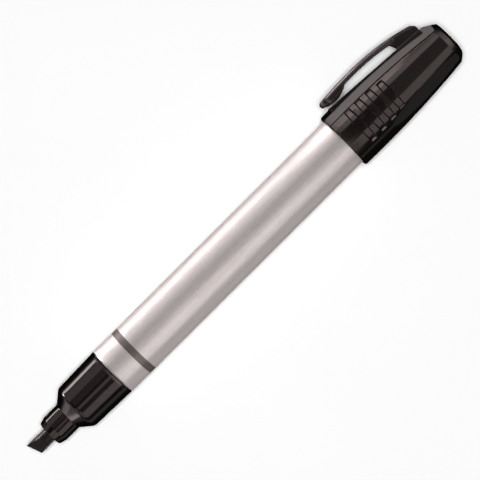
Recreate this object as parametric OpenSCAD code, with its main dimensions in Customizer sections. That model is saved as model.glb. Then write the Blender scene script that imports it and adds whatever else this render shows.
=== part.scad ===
// Chisel tip marker with a metal barrel and its cap pushed onto the rear end.
// The marker lies along X: nib towards -X, cap towards +X, pocket clip on the +Y side.
// The grip pockets of the cap face +Z and -Z. The origin is on the axis, half way along the barrel.

/* [Barrel] */
// Outside diameter of the drawn aluminium tube
barrel_d = 15.5; // [14:0.1:17]
// Length of the tube
barrel_len = 100; // [85:1:120]
// Wall of the tube
barrel_wall = 0.45; // [0.35:0.05:0.6]
// Thickness of the closed rear end
barrel_end_t = 0.8; // [0.6:0.1:1.2]
// Outside rounding of the closed rear end
barrel_end_r = 1.2; // [0.9:0.1:1.8]
// Outside radius of the front edge, which is rolled into the nose
lip_r = 0.9; // [0.75:0.05:1.1]

/* [Nose] */
// Thickness of the flange that meets the barrel
flange_t = 0.6; // [0.4:0.1:1]
// Step from the flange down to the nose body, on the radius
flange_step = 0.06; // [0.04:0.02:0.3]
// Length of the tapered nose body
nose_len = 13.4; // [11:0.1:16]
// Taper of the nose body towards the front, on the radius
nose_taper = 0.36; // [0.3:0.02:0.5]
// Length of the conical shoulder
shoulder_len = 3.5; // [3:0.1:4.5]
// Rounding of the outer edge of the shoulder
shoulder_r = 1.8; // [0.8:0.1:2.4]
// Rounding of the inner corner between shoulder and snout
neck_r = 0.5; // [0.2:0.1:0.8]
// Diameter of the snout, which the cap seals on
snout_d = 8.9; // [7.6:0.1:9.6]
// Length of the snout
snout_len = 7.1; // [6:0.1:9]
// Length of the taper at the front of the snout
snout_taper_len = 2.1; // [1:0.1:3]
// Depth of that taper, on the radius
snout_taper = 0.6; // [0.2:0.05:0.8]
// Rounding of the front edge of the snout
snout_edge_r = 0.3; // [0.1:0.05:0.4]
// Length of the spigot inside the barrel
spigot_len = 10; // [6:0.5:14]
// Wall of the spigot
spigot_wall = 1; // [0.8:0.05:1.3]
// Diameter of the air chamber round the nib
chamber_d = 8; // [6.5:0.1:9]

/* [Nib] */
// Diameter of the nib rod
nib_d = 4.5; // [3.6:0.1:5.2]
// Length that stands out of the snout at the long corner
nib_out = 7; // [6:0.1:9]
// Slant of the writing edge
nib_slant = 20; // [10:1:30]
// Length of the flats that make the chisel
nib_flat_len = 3.8; // [3:0.1:5.5]
// Thickness of the writing edge
nib_edge_t = 0.7; // [0.4:0.1:1.2]
// Depth of the nib in the ink reservoir
nib_depth = 8; // [5:0.5:12]

/* [Ink reservoir] */
// Reach of the reservoir into the nose, ahead of the barrel
reservoir_lead = 3; // [1:0.5:6]
// Thickness of the film round the fibre core
film_t = 0.15; // [0.1:0.05:0.3]

/* [Cap body] */
// Depth of the barrel in the cap when it is pushed onto the rear end
post_depth = 8.7; // [7.5:0.1:9.5]
// Overlap of the cap on the barrel when it closes the nib
cover_depth = 7; // [6:0.1:8]
// Wall of the cap at its widest place
cap_wall = 1.15; // [1:0.05:1.5]
// Distance of the widest place from the mouth
crown_s = 8; // [5:0.5:12]
// Radius of the convex side line
crown_bend_r = 310; // [240:5:500]
// Chamfer of the mouth rim
rim_chamfer = 0.3; // [0.1:0.05:0.4]
// Thickness of the end wall
cap_end_t = 1.8; // [1.4:0.1:2.6]
// Diameter of the end face where its sides would meet
cap_end_d = 11.6; // [10:0.1:12]
// Angle of the bevel round the end, from the axis
cap_end_angle = 36.4; // [30:0.2:45]
// Rounding between that bevel and the end face
cap_end_round = 2.5; // [1:0.1:3.5]

/* [Cap panels] */
// Direction of the upper facets, from the front towards the clip
upper_angle = 48; // [44:1:52]
// Depth of the upper facets at the widest place
upper_cut = 0.17; // [0.1:0.01:0.3]
// Radius of the lengthwise bend of the upper facets
upper_bend_r = 270; // [230:5:310]
// Direction of the lower facets, from the front away from the clip
lower_angle = 48; // [42:1:52]
// Distance from the mouth at which the lower facets begin
lower_s = 12.6; // [10:0.2:16]
// Slope of the lower facets
lower_slope = 3.6; // [2.8:0.1:4]
// Slope of the rail under the clip
rail_slope = 3.7; // [3:0.1:4.2]
// Width of the rail
rail_w = 9.2; // [8:0.1:10]
// Height of the rail above the widest place, at its start
rail_h = 0.15; // [0.05:0.05:0.5]
// Distance of the start of the rail from the mouth
rail_s = 3.4; // [2.5:0.1:5]
// Slope of the bevel at the end of the clip side
top_bevel_slope = 32; // [26:1:40]
// Depth of that bevel in the end face
top_bevel_cut = 0.98; // [0.3:0.02:1.4]
// Width of the crease along the lower border of the upper facets
crease_w = 0.3; // [0.2:0.05:0.5]
// Depth of that crease
crease_depth = 0.3; // [0.15:0.05:0.4]

/* [Grip pockets] */
// Number of pockets on each panel
pocket_count = 4; // [2:1:4]
// Distance of the first pocket from the mouth
pocket_s = 6.45; // [5.5:0.05:8]
// Distance from one pocket to the next
pocket_pitch = 3.95; // [3.4:0.05:4.4]
// Width of a pocket at mid height
pocket_w = 2.45; // [1.8:0.05:2.8]
// Slant of a pocket's side walls
pocket_draft = 25; // [10:1:30]
// Slant of a pocket's end walls
pocket_end_draft = 20; // [10:1:30]
// Distance behind the cap's axis round which the side walls turn, which draws a pocket in towards its ends
pocket_axle = 4; // [1:0.5:8]
// Height of the first pocket
pocket_h = 11.6; // [9:0.1:12]
// Loss of height, times the square of the pocket's number
pocket_fall = 0.22; // [0:0.02:0.3]
// Depth of a pocket
pocket_depth = 0.65; // [0.4:0.05:0.7]

/* [Cap inside] */
// Number of grip ribs in the mouth
rib_count = 6; // [3:1:10]
// Width of a rib
rib_w = 1.2; // [0.8:0.1:2]
// Height of a rib above the bore
rib_h = 0.2; // [0.1:0.05:0.3]
// Distance of the ribs from the mouth
rib_s = 1.2; // [0.8:0.1:2]
// Distance from the mouth at which the ribs end and the bore narrows
rib_end_s = 11; // [10:0.5:14]
// Height of the stop for the barrel, above the grip line of the ribs
stop_h = 0.09; // [0.07:0.01:0.15]
// Lead-in chamfer of the mouth
mouth_lead = 0.35; // [0.1:0.05:0.5]

/* [Cap liner] */
// Wall of the liner round the snout
liner_wall = 0.8; // [0.6:0.05:1]
// Width of the liner flange beyond its wall
liner_flange_w = 1.5; // [1:0.1:1.7]
// Thickness of the liner flange
liner_flange_t = 1; // [0.7:0.1:1.4]
// Thickness of the closed end of the liner
liner_end_t = 0.7; // [0.5:0.1:1]

/* [Pocket clip] */
// Width of the clip
clip_w = 5.5; // [4:0.1:5.8]
// Thickness of the clip arm
clip_t = 1.6; // [1.3:0.05:1.8]
// Bend of the arm towards the root, at its outer face
clip_bend_r = 73.7; // [65:0.1:85]
// Bend of the arm towards the tip, at its outer face
clip_tip_bend_r = 150; // [110:5:200]
// Rounding of the outer edges
clip_edge_r = 0.9; // [0.6:0.05:1.1]
// Height of the outer face above the widest place of the cap
clip_rise = 3.6; // [3.4:0.1:4.4]
// Distance of the highest place of the arm from the mouth
clip_crown_s = 15.3; // [13:0.1:17]
// Distance of the free tip from the mouth
clip_tip_s = 2.3; // [1.5:0.1:4]
// Rounding of the free tip
clip_tip_r = 0.95; // [0.85:0.05:1.1]
// Distance of the root from the end of the cap
clip_root_back = 4.7; // [4.3:0.1:5.5]
// Length of the root
clip_root_len = 8.8; // [7:0.1:11]
// Depth of the foot of the gap behind the front of the root
clip_gap_s = 1.1; // [0.9:0.1:1.3]
// Lean of the closed end of the gap
gap_lean = 21; // [15:1:27]
// Rounding of the corners there
gap_r = 0.4; // [0.2:0.1:0.5]
// Distance of the middle of the foot from the tip
foot_s = 4.5; // [4.2:0.1:6]
// Radius of the foot
foot_r = 8.2; // [7:0.1:9]
// Gap between the foot and the rail
foot_gap = 0.45; // [0.2:0.05:0.8]

/* [Fits] */
// Clearance of the barrel in the cap, on the radius
slide_gap = 0.05; // [0.03:0.01:0.1]
// Clearance of the nose in the rolled front edge and in the tube
crimp_gap = 0.04; // [0.02:0.01:0.08]
// Clearance of the nib in the nose and in the core, on the radius
nib_gap = 0.05; // [0.02:0.01:0.1]
// Clearance of the reservoir in the nose and against the film
reservoir_gap = 0.06; // [0.03:0.01:0.15]
// Play of the reservoir along the barrel
reservoir_play = 0.3; // [0.1:0.05:0.8]
// Clearance of the snout in the liner, on the radius
seal_gap = 0.05; // [0.02:0.01:0.1]
// Clearance of the liner in the cap
liner_gap = 0.03; // [0.02:0.01:0.1]
// Room round the closed end of the liner
liner_room = 0.2; // [0.1:0.05:0.4]
// Room inside the cap round the nose and ahead of the nib
cap_room = 0.3; // [0.15:0.05:0.5]
// Clearance between the clip arm and its root
flex_gap = 0.05; // [0.03:0.01:0.1]

/* [Hidden] */
$fn = 96;

// Length by which a cutting shape passes what it cuts
over = 1;
// Size of a cutting shape that takes away everything on one side of a plane
span = 2 * barrel_len;

// Stations along the barrel and the nose
front_x = -barrel_len / 2;
back_x = barrel_len / 2;
flange_x = front_x - crimp_gap;
nose_x = flange_x - flange_t;
shoulder_x = nose_x - nose_len;
snout_x = shoulder_x - shoulder_len;
snout_front_x = snout_x - snout_len;
nib_tip_x = snout_front_x - nib_out;
seat_x = front_x - reservoir_lead;
reservoir_x = seat_x + reservoir_gap;
reservoir_end_x = back_x - barrel_end_t - reservoir_play;
nib_end_x = reservoir_x + nib_depth;

// Radii from the barrel inwards
barrel_r = barrel_d / 2;
tube_r = barrel_r - barrel_wall;
groove_r = barrel_r - lip_r - crimp_gap;
spigot_r = tube_r - crimp_gap;
socket_r = spigot_r - spigot_wall;
film_r = socket_r - reservoir_gap;
core_r = film_r - film_t - reservoir_gap;
nib_r = nib_d / 2;
snout_r = snout_d / 2;
nose_rear_r = barrel_r - flange_step;
nose_front_r = nose_rear_r - nose_taper;

// Stations along the cap, measured from its mouth
mouth_x = back_x - post_depth;
throat_s = cover_depth + flange_t + nose_len;
liner_s = throat_s + shoulder_len + cap_room;
liner_bore_end_s = throat_s + shoulder_len + snout_len + nib_out + cap_room;
liner_end_s = liner_bore_end_s + liner_end_t;
well_end_s = liner_end_s + liner_room;
cap_len = well_end_s + cap_end_t;
root_end_s = cap_len - clip_root_back;
gap_end_s = root_end_s - clip_root_len;

// Radii of the cap
grip_r = barrel_r + slide_gap;
stop_r = grip_r - stop_h;
cap_bore_r = grip_r + rib_h;
crown_r = cap_bore_r + cap_wall;
throat_r = nose_front_r + cap_room;
liner_bore_r = snout_r + seal_gap;
liner_r = liner_bore_r + liner_wall;
liner_flange_r = liner_r + liner_flange_w;
liner_seat_r = liner_flange_r + liner_gap;
well_r = liner_r + liner_room;
cap_end_r = cap_end_d / 2;

// Where the rounded end of the barrel meets the stop on the ribs
stop_drop = stop_r - (barrel_r - barrel_end_r);
stop_s = post_depth - barrel_end_r + sqrt(pow(barrel_end_r, 2) - pow(stop_drop, 2)) + slide_gap;

// The arm of the clip bends round this centre, and hinges where it leaves the root
clip_top_y = crown_r + clip_rise;
clip_cy = clip_top_y - clip_bend_r;
clip_in_r = clip_bend_r - clip_t;
clip_mid_r = clip_bend_r - clip_t / 2;
clip_hinge_s = gap_end_s + clip_gap_s;
clip_hinge_angle = asin((clip_hinge_s - clip_crown_s) / clip_mid_r);
tip_mid_s = clip_tip_s + clip_tip_r;
foot_mid_s = clip_tip_s + foot_s;

// Radius of the cap's side line at a distance from the mouth
function cap_r(s) = crown_r - crown_bend_r + sqrt(pow(crown_bend_r, 2) - pow(s - crown_s, 2));

// Height of the upper facets over the axis at a distance from the mouth
function upper_h(s) = crown_r - upper_cut - upper_bend_r + sqrt(pow(upper_bend_r, 2) - pow(s - crown_s, 2));

// Distance of the upper facets' lower border from the middle of the panel
function crease_y(s) = cap_r(s) * sin(upper_angle - acos(upper_h(s) / cap_r(s)));

// Height of the top of the rail at a distance from the mouth
function rail_y(s) = crown_r + rail_h - (s - rail_s) * tan(rail_slope);

// Height of an arc of the clip at a distance from the mouth
function clip_y(s, r) = clip_cy + sqrt(pow(r, 2) - pow(s - clip_crown_s, 2));

// Height of the outer face of the clip near its tip
function tip_y(s) = clip_top_y - clip_tip_bend_r + sqrt(pow(clip_tip_bend_r, 2) - pow(s - clip_crown_s, 2));

function unit(v) = v / norm(v);

// Outline with some corners rounded: points run anticlockwise, and a radius of 0 keeps a corner sharp
module soft_outline(points, radii) {
    count = len(points);
    function before(i) = unit(points[(i + count - 1) % count] - points[i]);
    function after(i) = unit(points[(i + 1) % count] - points[i]);
    function half(i) = acos(before(i) * after(i)) / 2;
    function reach(i) = radii[i] / tan(half(i));
    function centre(i) = points[i] + unit(before(i) + after(i)) * radii[i] / sin(half(i));
    function convex(i) = cross(after(i), before(i)) > 0;
    rounded = [for (i = [0 : count - 1]) if (radii[i] > 0) i];
    difference() {
        union() {
            polygon([
                for (i = [0 : count - 1])
                    each radii[i] > 0
                        ? [points[i] + before(i) * reach(i), points[i] + after(i) * reach(i)]
                        : [points[i]]
            ]);
            for (i = rounded) if (convex(i)) translate(centre(i)) circle(radii[i]);
        }
        for (i = rounded) if (!convex(i)) translate(centre(i)) circle(radii[i]);
    }
}

// Turn a profile, drawn as radius and distance, round the X axis
module turned() rotate([0, 90, 0]) rotate_extrude() children();

// Round rod or bore along X
module rod(r, from, to) translate([from, 0, 0]) rotate([0, 90, 0]) cylinder(h = to - from, r = r);

// Half profile of a tube's outside or inside, with its two corners rounded
module tube_profile(r, from, to, from_r, to_r)
    soft_outline([[0, from], [r, from], [r, to], [0, to]], [0, from_r, to_r, 0]);

module barrel() {
    color("silver") turned() difference() {
        tube_profile(barrel_r, front_x, back_x, lip_r, barrel_end_r);
        tube_profile(
            tube_r, front_x + barrel_wall, back_x - barrel_end_t,
            lip_r - barrel_wall, barrel_end_r - barrel_wall
        );
        translate([0, front_x - over]) square([barrel_r - lip_r, lip_r + over]);
    }
}

module nose_section() {
    groove_end_x = front_x + lip_r + crimp_gap;
    spigot_end_x = front_x + spigot_len;
    color([0.13, 0.12, 0.12]) difference() {
        turned() soft_outline(
            [
                [0, snout_front_x], [snout_r - snout_taper, snout_front_x],
                [snout_r, snout_front_x + snout_taper_len], [snout_r, snout_x],
                [nose_front_r, shoulder_x], [nose_rear_r, nose_x],
                [barrel_r, nose_x], [barrel_r, flange_x],
                [groove_r, flange_x], [groove_r, groove_end_x],
                [spigot_r, groove_end_x], [spigot_r, spigot_end_x], [0, spigot_end_x]
            ],
            [0, snout_edge_r, 0, neck_r, shoulder_r, 0, 0, 0, 0, 0, 0, 0, 0]
        );
        rod(nib_r + nib_gap, snout_front_x - over, shoulder_x + over);
        rod(chamber_d / 2, shoulder_x, seat_x + over);
        rod(socket_r, seat_x, spigot_end_x + over);
    }
}

// Everything above a plane at a height over the axis, turned from +Z towards +Y and sloping down along X
module above_plane(angle, height, slope, from)
    translate([from, 0, 0]) rotate([-angle, 0, 0]) translate([0, 0, height])
        rotate([0, slope, 0]) translate([-span, -span, 0]) cube([2 * span, 2 * span, span]);

// Everything above a face that is flat across and bends along X, highest at a height over the axis
module above_bend(angle, height, bend_r, at)
    rotate([-angle, 0, 0]) rotate([90, 0, 0]) linear_extrude(span, center = true) difference() {
        translate([at - span / 2, 0]) square(span);
        translate([at, height - bend_r]) circle(bend_r, $fn = 720);
    }

module chisel_nib() {
    edge_x = nib_tip_x + nib_r * tan(nib_slant);
    flat_angle = atan((nib_r - nib_edge_t / 2) / nib_flat_len);
    color([0.1, 0.1, 0.11]) difference() {
        rod(nib_r, nib_tip_x, nib_end_x);
        translate([edge_x, 0, 0]) rotate([0, 0, nib_slant]) {
            translate([-span, -span / 2, -span / 2]) cube(span);
            for (side = [0, 180]) rotate([side, 0, 0]) above_plane(0, nib_edge_t / 2, -flat_angle, 0);
        }
    }
}

module reservoir_core() {
    color([0.2, 0.2, 0.22]) difference() {
        rod(core_r, reservoir_x, reservoir_end_x);
        rod(nib_r + nib_gap, reservoir_x - over, nib_end_x + nib_gap);
    }
}

module reservoir_film() {
    color([0.85, 0.87, 0.9]) difference() {
        rod(film_r, reservoir_x, reservoir_end_x);
        rod(film_r - film_t, reservoir_x - over, reservoir_end_x + over);
    }
}

module at_mouth() translate([mouth_x, 0, 0]) children();

// Outside of the cap as a turned form: convex side line, chamfered rim, bevelled and rounded end
module cap_form() {
    far_r = crown_r + over;
    rim_r = cap_r(0) - rim_chamfer;
    turned() intersection() {
        translate([crown_r - crown_bend_r, crown_s]) circle(crown_bend_r, $fn = 720);
        soft_outline(
            [
                [0, 0], [rim_r, 0], [far_r, far_r - rim_r],
                [far_r, cap_len - (far_r - cap_end_r) / tan(cap_end_angle)],
                [cap_end_r, cap_len], [0, cap_len]
            ],
            [0, 0, 0, 0, cap_end_round, 0]
        );
    }
}

// Outside of the cap: facets cut into the turned form, the rail added, and the clip side planed off
module cap_outside() {
    difference() {
        union() {
            difference() {
                cap_form();
                for (angle = [upper_angle, 180 - upper_angle])
                    above_bend(angle, crown_r - upper_cut, upper_bend_r, crown_s);
                for (angle = [-lower_angle, lower_angle - 180])
                    above_plane(angle, cap_r(lower_s), lower_slope, lower_s);
            }
            translate([rail_s, 0, -rail_w / 2]) cube([root_end_s - rail_s, crown_r + over, rail_w]);
        }
        above_plane(90, crown_r + rail_h, rail_slope, rail_s);
        above_plane(90, cap_end_r - top_bevel_cut, top_bevel_slope, cap_len);
    }
}

// Inside of the cap: mouth, narrowing throat, seat of the liner flange and well of the liner
module cap_cavity() {
    seat_s = liner_s + liner_flange_t;
    turned() polygon([
        [0, -over], [cap_bore_r + mouth_lead, -over], [cap_bore_r + mouth_lead, 0],
        [cap_bore_r, mouth_lead], [cap_bore_r, rib_end_s], [throat_r, throat_s],
        [liner_seat_r, liner_s - cap_room], [liner_seat_r, seat_s],
        [well_r, seat_s], [well_r, liner_end_s - liner_wall],
        [well_r - liner_wall - liner_room, well_end_s], [0, well_end_s]
    ]);
}

// Ribs that grip the barrel, each with a step that stops its rounded end
module grip_ribs() {
    base_r = cap_bore_r + rib_h;
    for (i = [0 : rib_count - 1])
        rotate([0, 90, 0]) rotate([0, 0, i * 360 / rib_count]) rotate([90, 0, 0])
            linear_extrude(rib_w, center = true) polygon([
                [base_r, rib_s], [grip_r, rib_s + rib_h], [grip_r, stop_s],
                [stop_r, stop_s], [stop_r, rib_end_s], [base_r, rib_end_s]
            ]);
}

// Crease along the lower border of an upper facet: a shallow groove that follows the bend of the border
module facet_crease() {
    drop = crease_y(crown_s) - crease_y(cap_len);
    bend_r = (pow(cap_len - crown_s, 2) + pow(drop, 2)) / 2 / drop;
    difference() {
        linear_extrude(crown_r + over) intersection() {
            translate([crown_s, crease_y(crown_s) - bend_r]) difference() {
                circle(bend_r + crease_w / 2, $fn = 720);
                circle(bend_r - crease_w / 2, $fn = 720);
            }
            translate([-over, 0]) square([cap_len + 2 * over, crown_r]);
        }
        turned() intersection() {
            translate([crown_r - crown_bend_r, crown_s]) circle(crown_bend_r - crease_depth, $fn = 720);
            translate([0, -2 * over]) square([crown_r, cap_len + 4 * over]);
        }
    }
}

// One grip pocket of the front panel: its floor follows the round of the cap, its slanted sides draw in
// towards its ends because they turn round an axle behind the cap's axis, and its ends slant outwards
module grip_pocket(i) {
    mid_s = pocket_s + i * pocket_pitch;
    height = pocket_h - pocket_fall * i * i;
    outer_r = cap_r(mid_s);
    end_angle = asin(height / 2 / outer_r) + pocket_end_draft;
    end_z = outer_r * sin(pocket_end_draft) / sin(end_angle);
    far_z = outer_r + over;
    far_y = (far_z - end_z) * tan(end_angle);
    edge_r = outer_r + pocket_axle;
    half_w = pocket_w / 2 + over * tan(pocket_draft);
    intersection() {
        turned() translate([outer_r - pocket_depth, mid_s - half_w])
            square([pocket_depth + over, 2 * half_w]);
        rotate([90, 0, 90]) linear_extrude(cap_len) polygon([[0, end_z], [far_y, far_z], [-far_y, far_z]]);
        translate([0, 0, -pocket_axle]) turned() polygon([
            [edge_r - pocket_w / 2 / tan(pocket_draft), mid_s],
            [edge_r + over, mid_s - half_w], [edge_r + over, mid_s + half_w]
        ]);
    }
}

// Bar or disc that lies across the cap, as wide as the clip
module across(width) translate([0, 0, -width / 2]) linear_extrude(width) children();

// Everything on the nib side of a line through the clip's centre of bend
module before_angle(angle)
    translate([clip_crown_s, clip_cy]) rotate(-angle) translate([-span, 0]) square([span, span]);

module clip_disc(r) translate([clip_crown_s, clip_cy]) circle(r, $fn = 360);

module clip_hinge_disc(r) translate([clip_hinge_s, clip_y(clip_hinge_s, clip_mid_r)]) circle(r);

// Everything under the outer face of the clip, with soft edges: one bend towards the tip, one to the root
module clip_outside() {
    module wheel(r) translate([0, -r, 0]) rotate_extrude($fn = 360) soft_outline(
        [[0, -clip_w / 2], [r, -clip_w / 2], [r, clip_w / 2], [0, clip_w / 2]],
        [0, clip_edge_r, clip_edge_r, 0]
    );
    module half(from) translate([from, -span, -clip_w]) cube([span, 2 * span, 2 * clip_w]);
    translate([clip_crown_s, clip_top_y, 0]) {
        intersection() {
            wheel(clip_tip_bend_r);
            half(-span);
        }
        intersection() {
            wheel(clip_bend_r);
            half(0);
        }
    }
}

// Root of the clip, moulded on the cap: it ends the gap with a leaning wall and holds the arm
module clip_root() {
    gap_foot = [clip_hinge_s, rail_y(clip_hinge_s) - flex_gap];
    gap_top_y = clip_y(gap_end_s, clip_in_r);
    base_y = rail_y(root_end_s) - over / 2;
    corner_y = clip_y(root_end_s, clip_mid_r);
    intersection() {
        clip_outside();
        across(clip_w) difference() {
            soft_outline(
                [
                    [gap_end_s, base_y], [root_end_s, base_y], [root_end_s, corner_y],
                    [root_end_s - clip_t, corner_y + clip_t], [gap_end_s, corner_y + 2 * clip_t]
                ],
                [0, 0, clip_t / 2, 0, 0]
            );
            soft_outline(
                [
                    [gap_end_s - over, gap_foot.y], gap_foot,
                    [gap_foot.x - (gap_top_y - gap_foot.y) * tan(gap_lean), gap_top_y],
                    [gap_end_s - over, gap_top_y]
                ],
                [0, gap_r, gap_r, 0]
            );
            difference() {
                before_angle(clip_hinge_angle);
                clip_disc(clip_in_r - flex_gap);
            }
            clip_hinge_disc(clip_t / 2 + flex_gap);
        }
    }
}

module cap_shell() {
    color([0.16, 0.15, 0.15]) at_mouth() {
        difference() {
            union() {
                cap_outside();
                clip_root();
            }
            cap_cavity();
            for (side = [0, 1]) mirror([0, 0, side]) {
                facet_crease();
                for (i = [0 : pocket_count - 1]) grip_pocket(i);
            }
        }
        grip_ribs();
    }
}

module cap_liner() {
    color([0.8, 0.8, 0.78]) at_mouth() turned() difference() {
        polygon([
            [0, liner_s], [liner_flange_r, liner_s], [liner_flange_r, liner_s + liner_flange_t],
            [liner_r, liner_s + liner_flange_t], [liner_r, liner_end_s - liner_wall],
            [liner_r - liner_wall, liner_end_s], [0, liner_end_s]
        ]);
        translate([0, liner_s - over]) square([liner_bore_r, liner_bore_end_s - liner_s + over]);
    }
}

// Everything further from the mouth than a place on the clip
module beyond(s) translate([s, 0]) square([cap_len, span]);

module pocket_clip() {
    foot_y = rail_y(foot_mid_s) + foot_gap + foot_r;
    color([0.16, 0.15, 0.15]) at_mouth() intersection() {
        clip_outside();
        across(clip_w) {
            for (part = [[tip_mid_s, clip_mid_r], [foot_mid_s, clip_in_r]]) difference() {
                intersection() {
                    before_angle(clip_hinge_angle);
                    beyond(part[0]);
                }
                clip_disc(part[1]);
            }
            clip_hinge_disc(clip_t / 2);
            translate([tip_mid_s, tip_y(tip_mid_s) - clip_tip_r]) circle(clip_tip_r);
            intersection() {
                clip_disc(clip_mid_r);
                translate([foot_mid_s, foot_y]) circle(foot_r);
            }
        }
        rotate([90, 0, 0]) linear_extrude(span, center = true) {
            translate([clip_tip_s + clip_w / 2, 0]) circle(clip_w / 2);
            translate([clip_tip_s + clip_w / 2, -clip_w / 2]) square([cap_len, clip_w]);
        }
    }
}

barrel();
nose_section();
chisel_nib();
reservoir_core();
reservoir_film();
cap_shell();
cap_liner();
pocket_clip();
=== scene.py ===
import math

import bpy
from mathutils import Matrix, Vector


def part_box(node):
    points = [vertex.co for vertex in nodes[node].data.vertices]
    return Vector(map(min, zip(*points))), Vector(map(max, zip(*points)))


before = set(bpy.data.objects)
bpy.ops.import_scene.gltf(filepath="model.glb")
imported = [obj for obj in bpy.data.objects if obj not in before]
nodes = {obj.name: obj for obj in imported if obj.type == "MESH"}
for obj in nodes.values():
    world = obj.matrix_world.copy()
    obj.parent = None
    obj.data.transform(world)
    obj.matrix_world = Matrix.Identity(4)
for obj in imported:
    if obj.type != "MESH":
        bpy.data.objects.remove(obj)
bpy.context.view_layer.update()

MM = 0.001

# Places along the marker, from the frame
barrel_low, barrel_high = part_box("barrel")
cap_low, cap_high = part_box("cap_shell")
nose_low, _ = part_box("nose_section")
barrel_r = barrel_high.z
cap_r = cap_high.z

# Where the marker lies on the floor: its flange, from the front of the nose, and its cap, from the mouth
flange_from_front = 24 * MM
cap_rest_from_mouth = 3.7 * MM

# Printed ring on the barrel, near the nose
ring_from_x = barrel_low.x + 7.5 * MM
ring_w = 2.15 * MM
ring_edge = 0.08 * MM

# Lines on the barrel where the ribs of the cap slide: their start, half widths as angles, and polish
cap_ribs = 6
rub_from_x = cap_low.x + 1.2 * MM
rub_lead = 1 * MM
rub_core = 0.04
rub_rim = 0.10
rub_polish = 0.12

# Colours, each with its darkest and its lightest tone
metal_tones = (0.50, 0.45, 0.446), (0.55, 0.497, 0.492)
ring_tones = (0.125, 0.104, 0.10), (0.16, 0.134, 0.13)
nose_tones = (0.0028, 0.0021, 0.002), (0.0042, 0.0032, 0.003)
cap_tones = (0.0034, 0.0026, 0.0024), (0.0055, 0.0043, 0.004)
clip_tones = (0.005, 0.0038, 0.0036), (0.007, 0.0055, 0.0052)
nib_tones = (0.003, 0.0024, 0.0023), (0.008, 0.0066, 0.0062)
core_tones = (0.012, 0.012, 0.016), (0.04, 0.04, 0.05)
film_tones = (0.70, 0.72, 0.76), (0.80, 0.82, 0.85)
liner_tones = (0.70, 0.70, 0.67), (0.80, 0.80, 0.77)
floor_tones = (0.94, 0.94, 0.94), (0.96, 0.96, 0.96)
worn_tone = (0.05, 0.045, 0.044)

# Tints of the reflections
metal_tint = (0.15, 0.145, 0.14)
plastic_tint = (1.0, 0.82, 0.79)
fibre_tint = (1.0, 0.85, 0.8)

# Grain: its size across the marker, its scale along the marker where it runs lengthwise, and its share
drawn_size, drawn_scale, drawn_share = 0.16 * MM, 0.006, 0.6
mottle_size, mottle_share = 0.9 * MM, 0.4
flow_size, flow_scale = 3 * MM, 0.35
peel_size = 0.35 * MM
fibre_size, fibre_scale = 0.10 * MM, 0.03
pore_size = 0.22 * MM
plastic_cloud_size = 1.2 * MM
floor_cloud_size = 40 * MM
noise_roughness = 0.55

# Values of the noise that are spread over the tones: one noise, two added, and two multiplied
noise_range = (0.3, 0.7)
added_range = (0.35, 0.65)
multiplied_range = (0.15, 0.4)

# Roughness of the metal, and how far that of the other materials strays to either side
metal_roughness = (0.54, 0.46)
black_stray = 0.015
fibre_stray = 0.1
natural_stray = 0.06
full_gloss = 0.5

# Edges: wear of the black plastic where softened and true normal part, and softening of the nib
worn_edge_r = 0.1 * MM
worn_share = 0.35
worn_from, worn_to = 0.80, 0.97
nib_edge_r = 0.18 * MM

# Camera: how far it stands, what the picture takes in, and how the marker lies in it
camera_distance = 780 * MM
picture_w = 134.4 * MM
aim = Vector((1.46, 0.89, 0)) * MM
camera_side_step = 11.8 * MM
roll = math.radians(44.905)
sensor_w = 36

# Sockets of the mix node that are for colours
mix_factor, mix_a, mix_b, mix_result = 0, 6, 7, 2

# Studio: a floor, panels and low strips that show in the gloss, and an overhead light for the rest
floor_half = 4.0
world_strength = 0.04
panel_distance = 700 * MM
strip_y = 65 * MM
overhead_z = 1.2
overhead_w = 0.3
overhead_radiance = 51.5

# Each panel: from and to along the marker in millimetres, from and to over it in degrees, and radiance
panels = {
    "barrel_left_fill": (-104, -55, -72, -12, 5.9),
    "barrel_left_front": (-104, -55, -12, 28, 2.4),
    "barrel_fill": (-55, 18, -72, -12, 4.3),
    "barrel_front": (-55, 18, -12, 28, 1.65),
    "barrel_key": (-104, 0, 28, 62, 0.6),
    "nose_fill": (-200, -104, -70, -36, 1.2),
    "shoulder_fill": (-700, -280, -66, -25, 1.2),
    "lip_front": (-900, -500, -22, 0, 1.4),
    "nose_front": (-250, -104, -16, -4, 0.9),
    "nose_soft": (-250, -104, 9, 40, 0.22),
    "nose_key": (-700, -104, 40, 80, 0.8),
    "cap_fill": (45, 450, -60, -27, 1.0),
    "cap_front": (110, 450, -27, 28, 0.18),
    "cap_key_low": (36, 450, 28, 46, 1.25),
    "cap_key_mid": (36, 190, 46, 60, 2.9),
    "cap_key_high": (30, 210, 60, 82, 2.7),
    "cap_key_end": (190, 450, 46, 60, 0.9),
    "cap_end": (270, 450, -27, 28, 0.8),
}

# Each strip beside the marker: from and to along it, from and to over the floor in millimetres, and radiance
strips = {
    "nib_strip": (-98, -84, 0, 20, 50),
    "snout_strip": (-81, -71, 0, 12.5, 18),
    "nose_strip": (-71, -57, 0, 18, 14),
    "barrel_strip": (-50, 24, 0, 16, 6.4),
    "cap_strip": (42, 115, 0, 12.5, 9),
    "clip_strip": (42, 62, 13, 31, 12),
}

# Each strip beyond an end: its place along the marker, from and to across it and its height in millimetres,
# and its radiance
end_strips = {
    "nose_end_fill": (-115, -22, 1, 18, 6.0),
    "nose_end_key": (-115, 1, 45, 18, 3.0),
    "cap_end_fill": (700, -350, 0, 235, 1.65),
    "cap_end_key": (700, 0, 350, 235, 1.0),
    "far_nib_side": (-1300, -700, 700, 800, 1.0),
    "far_cap_side": (1300, -700, 700, 800, 1.0),
}


def rgba(colour):
    return (*colour, 1.0)


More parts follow.
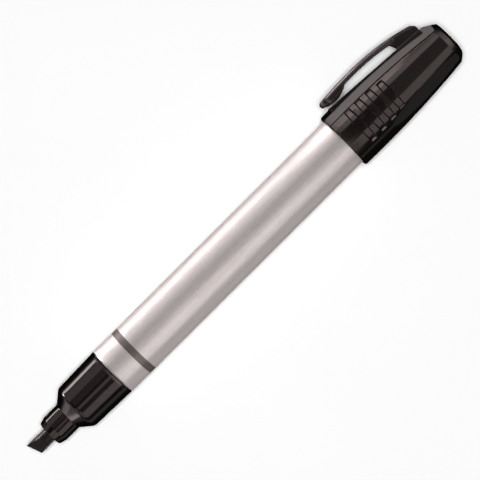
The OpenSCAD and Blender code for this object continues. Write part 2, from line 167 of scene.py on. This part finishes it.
def add(tree, kind, inputs=None, **settings):
    """New node in a tree, with its settings, and inputs that are sockets or constants."""
    node = tree.nodes.new(kind)
    for name, value in settings.items():
        setattr(node, name, value)
    for key, value in (inputs or {}).items():
        if isinstance(value, bpy.types.NodeSocket):
            tree.links.new(value, node.inputs[key])
        else:
            node.inputs[key].default_value = value
    return node


def new_material(name, **constants):
    """Material with one principled shader, and the tree and shader to build on."""
    material = bpy.data.materials.new(name)
    material.use_nodes = True
    tree = material.node_tree
    shader = tree.nodes["Principled BSDF"]
    for key, value in constants.items():
        shader.inputs[key.replace("_", " ")].default_value = value
    return material, tree, shader


def object_point(tree, along=1):
    """Place on the piece, in its own coordinates, scaled along the marker for grain that runs that way."""
    place = add(tree, "ShaderNodeTexCoord").outputs["Object"]
    return add(tree, "ShaderNodeMapping", {"Vector": place, "Scale": (along, 1, 1)}).outputs["Vector"]


def noise(tree, point, size, detail):
    """Noise with grains of about that size, in metres."""
    return add(
        tree, "ShaderNodeTexNoise",
        {"Vector": point, "Scale": 1 / size, "Detail": detail, "Roughness": noise_roughness},
    ).outputs["Fac"]


def between(tree, value, low, high, to_low, to_high, smooth=False):
    """Value moved from one range into another."""
    return add(
        tree, "ShaderNodeMapRange",
        {"Value": value, "From Min": low, "From Max": high, "To Min": to_low, "To Max": to_high},
        interpolation_type="SMOOTHSTEP" if smooth else "LINEAR",
    ).outputs["Result"]


def blend_colour(tree, factor, a, b):
    """Colour between a and b, each a socket or a constant."""
    node = add(tree, "ShaderNodeMix", data_type="RGBA", blend_type="MIX")
    tree.links.new(factor, node.inputs[mix_factor])
    for index, value in ((mix_a, a), (mix_b, b)):
        if isinstance(value, bpy.types.NodeSocket):
            tree.links.new(value, node.inputs[index])
        else:
            node.inputs[index].default_value = rgba(value)
    return node.outputs[mix_result]


def calculate(tree, operation, a, b=0.0):
    return add(tree, "ShaderNodeMath", {0: a, 1: b}, operation=operation).outputs["Value"]


def soft_normal(tree, radius, samples):
    """Normal that runs smoothly round the edges of the piece."""
    return add(tree, "ShaderNodeBevel", {"Radius": radius}, samples=samples).outputs["Normal"]


def bump(tree, shader, **inputs):
    normal = add(tree, "ShaderNodeBump", inputs).outputs["Normal"]
    tree.links.new(normal, shader.inputs["Normal"])


def uneven_roughness(tree, shader, value, middle, stray):
    roughness = between(tree, value, *noise_range, middle + stray, middle - stray)
    tree.links.new(roughness, shader.inputs["Roughness"])


def satin_aluminium():
    """Drawn tube under satin lacquer: lengthwise lines, faint mottling, a printed ring and rubbed lines."""
    material, tree, shader = new_material("satin_aluminium", Metallic=1.0, Specular_Tint=rgba(metal_tint))
    drawn = noise(tree, object_point(tree, drawn_scale), drawn_size, detail=2.0)
    mottle = noise(tree, object_point(tree), mottle_size, detail=4.0)
    grain = calculate(
        tree, "ADD",
        calculate(tree, "MULTIPLY", drawn, drawn_share), calculate(tree, "MULTIPLY", mottle, mottle_share),
    )
    point = add(tree, "ShaderNodeSeparateXYZ", {"Vector": object_point(tree)}).outputs

    off_ring = calculate(tree, "SUBTRACT", point["X"], ring_from_x + ring_w / 2)
    off_ring = calculate(tree, "ABSOLUTE", off_ring)
    ring = between(tree, off_ring, ring_w / 2 - ring_edge, ring_w / 2 + ring_edge, 1, 0, smooth=True)
    metal = blend_colour(tree, between(tree, grain, *added_range, 0, 1), *metal_tones)
    ink = blend_colour(tree, mottle, *ring_tones)
    tree.links.new(blend_colour(tree, ring, metal, ink), shader.inputs["Base Color"])

    turn = calculate(tree, "ARCTAN2", point["Y"], point["Z"])
    rub = calculate(tree, "PINGPONG", calculate(tree, "ADD", turn, math.pi), math.pi / cap_ribs)
    rub = between(tree, rub, rub_core, rub_rim, 1, 0, smooth=True)
    under_cap = between(tree, point["X"], rub_from_x, rub_from_x + rub_lead, 0, 1)
    rub = calculate(tree, "MULTIPLY", rub, under_cap)
    roughness = between(tree, grain, *added_range, *metal_roughness)
    roughness = calculate(tree, "SUBTRACT", roughness, calculate(tree, "MULTIPLY", rub, rub_polish))
    tree.links.new(roughness, shader.inputs["Roughness"])
    bump(tree, shader, Height=grain, Strength=0.06, Distance=0.02 * MM)
    return material


def moulded_black(name, tones, ior, roughness, fade, edge_r):
    """Moulded plastic: near-black with faint flow marks, a fine orange peel, and softened, lighter edges.

    Its gloss fades where the surface turns away, between the two values of fade.
    """
    material, tree, shader = new_material(name, IOR=ior, Specular_Tint=rgba(plastic_tint))
    flow = noise(tree, object_point(tree, flow_scale), flow_size, detail=3.0)
    peel = noise(tree, object_point(tree), peel_size, detail=2.0)
    worn = soft_normal(tree, worn_edge_r, samples=6)
    surface = add(tree, "ShaderNodeNewGeometry").outputs["Normal"]
    flat = add(tree, "ShaderNodeVectorMath", {0: worn, 1: surface}, operation="DOT_PRODUCT").outputs["Value"]
    colour = blend_colour(tree, between(tree, flow, *noise_range, 0, 1), *tones)
    wear = between(tree, flat, worn_from, worn_to, worn_share, 0)
    tree.links.new(blend_colour(tree, wear, colour, worn_tone), shader.inputs["Base Color"])
    uneven_roughness(tree, shader, flow, roughness, black_stray)
    facing = add(tree, "ShaderNodeLayerWeight", {"Blend": 0.5}).outputs["Facing"]
    fading = between(tree, facing, *fade, full_gloss, 0, smooth=True)
    tree.links.new(fading, shader.inputs["Specular IOR Level"])
    edge = soft_normal(tree, edge_r, samples=8)
    bump(tree, shader, Height=peel, Strength=0.05, Distance=0.01 * MM, Normal=edge)
    return material


def ink_fibre(name, tones, roughness):
    """Bonded fibres that run along the rod, soaked with ink."""
    material, tree, shader = new_material(name, Specular_IOR_Level=0.15, Specular_Tint=rgba(fibre_tint))
    fibre = noise(tree, object_point(tree, fibre_scale), fibre_size, detail=3.0)
    pores = noise(tree, object_point(tree), pore_size, detail=4.0)
    tone = between(tree, calculate(tree, "MULTIPLY", fibre, pores), *multiplied_range, 0, 1)
    tree.links.new(blend_colour(tree, tone, *tones), shader.inputs["Base Color"])
    uneven_roughness(tree, shader, pores, roughness, fibre_stray)
    edge = soft_normal(tree, nib_edge_r, samples=6)
    bump(tree, shader, Height=fibre, Strength=0.25, Distance=0.03 * MM, Normal=edge)
    return material


def natural_plastic(name, tones, roughness):
    """Unpainted moulded plastic, a little uneven and translucent."""
    material, tree, shader = new_material(name, Subsurface_Weight=0.15, Subsurface_Scale=1.5 * MM)
    cloud = noise(tree, object_point(tree), plastic_cloud_size, detail=3.0)
    tree.links.new(blend_colour(tree, cloud, *tones), shader.inputs["Base Color"])
    uneven_roughness(tree, shader, cloud, roughness, natural_stray)
    return material


def dress(node, material):
    nodes[node].data.materials.clear()
    nodes[node].data.materials.append(material)


def floor():
    """Pale floor that touches the marker at its flange and near the mouth of its cap."""
    front = Vector((nose_low.x + flange_from_front, 0, -barrel_r))
    back = Vector((cap_low.x + cap_rest_from_mouth, 0, -cap_r))
    along = (back - front).normalized() * floor_half
    across = Vector((0, floor_half, 0))
    mesh = bpy.data.meshes.new("floor")
    mesh.from_pydata(
        [front - along - across, front + along - across, front + along + across, front - along + across],
        [], [(0, 1, 2, 3)],
    )
    plane = bpy.data.objects.new("floor", mesh)
    bpy.context.scene.collection.objects.link(plane)
    material, tree, shader = new_material("floor_white", Roughness=1.0, Specular_IOR_Level=0.0)
    cloud = noise(tree, object_point(tree), floor_cloud_size, detail=2.0)
    tree.links.new(blend_colour(tree, cloud, *floor_tones), shader.inputs["Base Color"])
    mesh.materials.append(material)


def softbox(name, place, rotation, length, width, radiance, glossy=True):
    """Rectangular light that shows only in gloss, or else lights only what is matt."""
    lamp = bpy.data.lights.new(name, "AREA")
    lamp.shape = "RECTANGLE"
    lamp.size = length
    lamp.size_y = width
    lamp.energy = math.pi * length * width * radiance
    light = bpy.data.objects.new(name, lamp)
    bpy.context.scene.collection.objects.link(light)
    light.location = place
    light.rotation_euler = rotation
    light.visible_camera = False
    light.visible_glossy = glossy
    light.visible_diffuse = not glossy


def panel(name, from_x, to_x, low_angle, high_angle, radiance):
    """Light on a half round over the marker, with angles from straight above towards the clip."""
    turn = math.radians(low_angle + high_angle) / 2
    width = 2 * panel_distance * math.tan(math.radians(high_angle - low_angle) / 2)
    place = Vector((0, math.sin(turn), math.cos(turn))) * panel_distance
    place.x = (from_x + to_x) / 2 * MM
    softbox(name, place, (-turn, 0, 0), (to_x - from_x) * MM, width, radiance)


def strip(name, from_x, to_x, low, high, radiance):
    """Low light that stands beside the marker, for the bright line along its clip side."""
    place = Vector(((from_x + to_x) / 2 * MM, strip_y, (low + high) / 2 * MM - cap_r))
    softbox(name, place, (-math.pi / 2, 0, 0), (to_x - from_x) * MM, (high - low) * MM, radiance)


def end_strip(name, x, from_y, to_y, height, radiance):
    """Low light beyond an end of the marker, for the gloss of the nose's shoulder and the cap's end."""
    place = Vector((x * MM, (from_y + to_y) / 2 * MM, height / 2 * MM - cap_r))
    turn = math.copysign(math.pi / 2, x)
    softbox(name, place, (0, turn, 0), height * MM, (to_y - from_y) * MM, radiance)


def studio():
    world = bpy.data.worlds.new("studio")
    world.use_nodes = True
    background = world.node_tree.nodes["Background"]
    background.inputs["Color"].default_value = rgba((1, 1, 1))
    background.inputs["Strength"].default_value = world_strength
    bpy.context.scene.world = world
    for name, values in panels.items():
        panel(name, *values)
    for name, values in strips.items():
        strip(name, *values)
    for name, values in end_strips.items():
        end_strip(name, *values)
    above = Vector((0, 0, overhead_z))
    softbox("overhead", above, (0, 0, 0), overhead_w, overhead_w, overhead_radiance, glossy=False)


def camera():
    data = bpy.data.cameras.new("camera")
    data.sensor_width = sensor_w
    data.lens = sensor_w * camera_distance / picture_w
    eye = bpy.data.objects.new("camera", data)
    bpy.context.scene.collection.objects.link(eye)
    eye.location = aim + Vector((camera_side_step, 0, camera_distance))
    back = (eye.location - aim).normalized()
    right = Vector((math.cos(roll), -math.sin(roll), 0))
    right = (right - right.dot(back) * back).normalized()
    up = back.cross(right)
    eye.rotation_euler = Matrix((right, up, back)).transposed().to_euler()
    bpy.context.scene.camera = eye


dress("barrel", satin_aluminium())
dress("nose_section", moulded_black(
    "nose_black", nose_tones, ior=1.5, roughness=0.115, fade=(0.12, 0.50), edge_r=0.08 * MM
))
dress("cap_shell", moulded_black(
    "cap_black", cap_tones, ior=1.6, roughness=0.10, fade=(0.08, 0.42), edge_r=0.16 * MM
))
dress("pocket_clip", moulded_black(
    "clip_black", clip_tones, ior=1.6, roughness=0.18, fade=(0.20, 0.50), edge_r=1.6 * MM
))
dress("chisel_nib", ink_fibre("nib_fibre", nib_tones, roughness=0.32))
dress("reservoir_core", ink_fibre("core_fibre", core_tones, roughness=0.75))
dress("reservoir_film", natural_plastic("clear_film", film_tones, roughness=0.2))
dress("cap_liner", natural_plastic("liner_white", liner_tones, roughness=0.42))

floor()
studio()
camera()
bpy.context.scene.view_settings.view_transform = "Standard"
